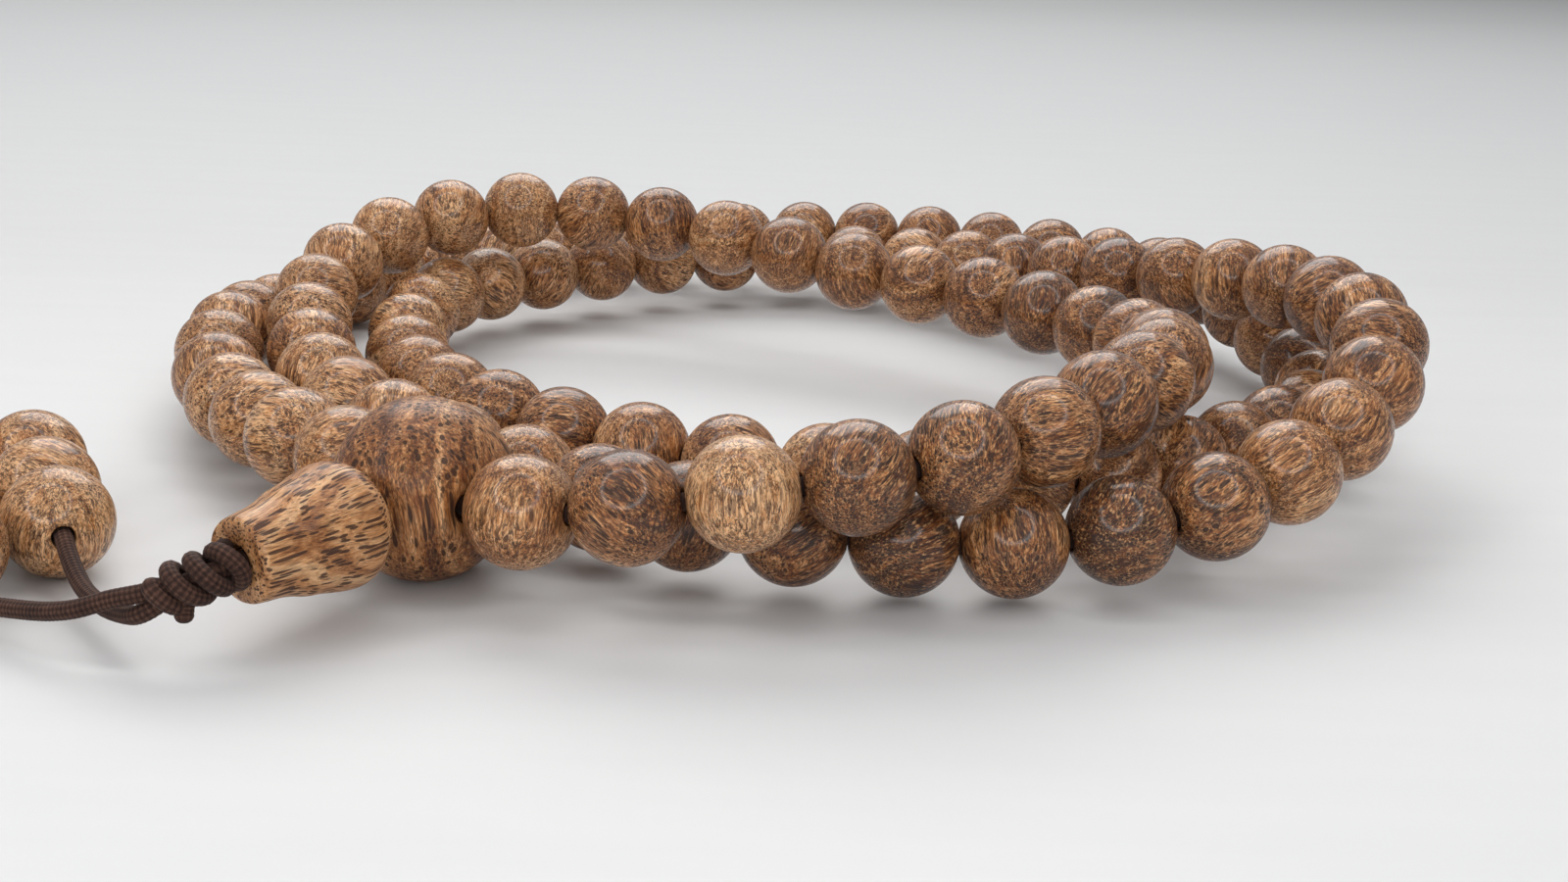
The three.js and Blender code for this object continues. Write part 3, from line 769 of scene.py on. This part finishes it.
# guru bead: a round bead with flattened ends
profile = []
steps = 26
for i in range(-steps, steps + 1):
    z = 5.75 * math.sin(math.pi / 2 * i / steps)
    r = 6.606 * max(0.0, 1 - (abs(z) / 6.06) ** 2.12) ** (1 / 2.12)
    profile.append((z, r))
tail = [(5.81, 1.9), (5.80, 1.5), (5.70, 1.2), (5.4, 1.05), (4.0, 1.05)]
profile = [(-z, r) for z, r in reversed(tail)] + profile + tail
verts, faces = lathe(profile, 112)
verts = placed(verts, GURU_CENTRE, GURU_BORE_AXIS)
b = Build()
b.add(verts, faces, **wood_attributes(verts, GURU_CENTRE, 77, (-0.12, -0.05, 1.0), 2.2, 0.50, 0.42, 1.0, (1.25, 1.25, 2.0)))
o = b.object("guru_bead_turned", guru_wood)
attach(o, "strung_loop")
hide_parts("guru_bead")

# cap bead
R0, R1, L = CAP_NARROW_RADIUS, CAP_WIDE_RADIUS, CAP_LENGTH
knots = [(0.035, 1.0 * R0), (0.10, 1.035 * R0), (0.2, 1.07 * R0), (0.3, 1.15 * R0), (0.4, 1.27 * R0), (0.5, 0.885 * R1), (0.6, 0.945 * R1),
         (0.68, 0.985 * R1), (0.75, R1), (0.82, 0.97 * R1), (0.88, 0.9 * R1), (0.93, 0.79 * R1), (0.96, 0.68 * R1), (0.985, 0.54 * R1)]
line = catmull([(s * L, r, 0) for s, r in knots], 0.16)
outer = [(p.x, p.y) for p in line]
narrow = [(0.9, 1.05), (0.25, 1.05), (0.06, 1.18), (0.0, 1.4), (0.0, 1.9), (0.0, 2.3), (0.05, 2.62), (0.17, 2.82)]
wide = [(L - 0.02, 0.42 * R1), (L, 1.5), (L - 0.05, 1.2), (L - 0.3, 1.05), (L - 1.2, 1.05)]
profile = narrow + outer + wide
verts, faces = lathe(profile, 96)
verts = placed(verts, CAP_NARROW_END, CAP_AXIS)
centre = Vector(CAP_NARROW_END) + cap_axis * 5.4
b = Build()
b.add(verts, faces, **wood_attributes(verts, centre, 91, CAP_AXIS, 0.4, 0.36, 0.10, 1.0, (0.70, 0.70, 2.3)))
o = b.object("stupa_bead_turned", cap_wood)
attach(o, "stupa")
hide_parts("stupa_bead")


# ---------------------------------------------------------------- end knots of the tails
def end_knot(key):
    row = Vector(TAIL_ROW_AXIS).normalized()
    first = Vector(TAIL_FIRST_BEAD[key])
    start = first + row * (TAIL_BEAD_PITCH * 2 + BEAD_HALF_LENGTH + TAIL_KNOT_GAP + 0.1)
    x, y, z = basis(row)
    b = Build()
    line = []
    for i in range(37 * 2):
        t = i / 36
        a = 2 * math.pi * t
        line.append(start + z * (0.62 + 0.55 * t + 0.12 * math.cos(a)) + x * (0.86 * math.cos(a)) + y * (0.86 * math.sin(a)))
    line = smoothed(catmull(line, 0.1), 4)
    verts, faces, grain, rib = cord_body(line, 0.6, 20, relief=0.04, start=7.0)
    b.add(verts, faces, grain=grain, rib=rib)
    core = resample([start - z * 0.1, start + z * (TAIL_KNOT_LENGTH - 0.35)], 0.15)
    verts, faces, grain, rib = cord_body(core, 0.6, 16, relief=0.03, start=90.0)
    b.add(verts, faces, grain=grain, rib=rib)
    o = b.object(f"tail_end_knot_{key}_tied", cord_material)
    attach(o, "strung_loop")
    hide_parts(f"tail_end_knot_{key}")
    return o


for key in ("a", "b"):
    tail_pieces[key].append(end_knot(key))
    o, line = tail_cords[key]


# ---------------------------------------------------------------- floor and light
def make_floor():
    mesh = bpy.data.meshes.new("floor")
    s = 3.0
    mesh.from_pydata([(-s, -s, 0), (s, -s, 0), (s, s, 0), (-s, s, 0)], [], [(0, 1, 2, 3)])
    o = bpy.data.objects.new("floor", mesh)
    bpy.context.scene.collection.objects.link(o)
    m = bpy.data.materials.new("floor_paper")
    k = Nodes(m)
    where = k.node("ShaderNodeNewGeometry")
    n = k.noise(k.vmath("MULTIPLY", where, (30.0, 220.0, 30.0)), detail=2.0)
    paper = k.mix(n, (0.760, 0.760, 0.765, 1.0), (0.800, 0.800, 0.800, 1.0))
    y = k.node("ShaderNodeSeparateXYZ", i0=where).node.outputs[1]
    # painted shade: the floor colour darkens towards its far edge, where less of the light falls
    painted_far_shade = k.colours(k.ramp(y, -0.10, 0.65, smooth=False), [(0.0, (0.86, 0.86, 0.86, 1)), (0.13, (0.83, 0.83, 0.83, 1)), (0.24, (0.72, 0.72, 0.72, 1)), (0.50, (0.63, 0.635, 0.64, 1)), (1.0, (0.50, 0.503, 0.506, 1))])
    k.set(k.shader.inputs["Base Color"], k.mix(1.0, paper, painted_far_shade, "MULTIPLY"))
    k.shader.inputs["Roughness"].default_value = 0.55
    k.shader.inputs["Specular IOR Level"].default_value = 0.25
    mesh.materials.append(m)
    return o


make_floor()


def area(name, at, target, size, power, colour=(1, 1, 1), size_y=None):
    data = bpy.data.lights.new(name, "AREA")
    data.shape = "RECTANGLE" if size_y else "DISK"
    data.size = size
    if size_y:
        data.size_y = size_y
    data.energy = power
    data.color = colour
    o = bpy.data.objects.new(name, data)
    bpy.context.scene.collection.objects.link(o)
    o.location = at
    o.rotation_euler = (Vector(target) - Vector(at)).to_track_quat("-Z", "Y").to_euler()
    return o


area("key", (-0.08, 0.60, 0.62), (0, 0.02, 0), 0.75, 5.2, (1.0, 0.995, 0.985), 0.6)


def ring_light():
    """A large hoop of light over the camera's side, which draws a soft ring on each polished bead."""
    aim = Vector((0, 0, 0.008))
    azimuth, elevation, away = math.radians(-9), math.radians(54), 0.46
    at = aim + away * Vector((math.sin(azimuth) * math.cos(elevation), -math.cos(azimuth) * math.cos(elevation), math.sin(elevation)))
    o = area("hoop", at, aim, 0.80, 4.2, (1.0, 1.0, 1.0), 0.80)
    o.data.use_nodes = True
    tree = o.data.node_tree
    emission = tree.nodes["Emission"]
    where = tree.nodes.new("ShaderNodeNewGeometry")
    middle = tree.nodes.new("ShaderNodeVectorMath")
    middle.operation = "SUBTRACT"
    middle.inputs[1].default_value = (0.5, 0.5, 0.0)
    tree.links.new(where.outputs["Parametric"], middle.inputs[0])
    split = tree.nodes.new("ShaderNodeSeparateXYZ")
    tree.links.new(middle.outputs[0], split.inputs[0])
    flat = tree.nodes.new("ShaderNodeCombineXYZ")
    tree.links.new(split.outputs[0], flat.inputs[0])
    tree.links.new(split.outputs[1], flat.inputs[1])
    size = tree.nodes.new("ShaderNodeVectorMath")
    size.operation = "LENGTH"
    tree.links.new(flat.outputs[0], size.inputs[0])
    low = tree.nodes.new("ShaderNodeMapRange")
    high = tree.nodes.new("ShaderNodeMapRange")
    for n, v in ((low, (0.395, 0.43, 0.0, 1.0)), (high, (0.465, 0.50, 1.0, 0.0))):
        n.interpolation_type = "SMOOTHSTEP"
        for i, x in enumerate(v):
            n.inputs[i + 1].default_value = x
        tree.links.new(size.outputs["Value"], n.inputs[0])
    both = tree.nodes.new("ShaderNodeMath")
    both.operation = "MULTIPLY"
    tree.links.new(low.outputs[0], both.inputs[0])
    tree.links.new(high.outputs[0], both.inputs[1])
    scaled = tree.nodes.new("ShaderNodeMath")
    scaled.operation = "MULTIPLY_ADD"
    scaled.inputs[1].default_value = 2.7
    scaled.inputs[2].default_value = 0.16
    tree.links.new(both.outputs[0], scaled.inputs[0])
    tree.links.new(scaled.outputs[0], emission.inputs["Strength"])
    return o


ring_light()

world = bpy.data.worlds.new("studio")
bpy.context.scene.world = world
world.use_nodes = True
background = world.node_tree.nodes["Background"]
background.inputs[0].default_value = (0.97, 0.985, 1.0, 1.0)
background.inputs[1].default_value = 0.40

bpy.context.scene.view_settings.view_transform = "Standard"
bpy.context.scene.view_settings.look = "None"
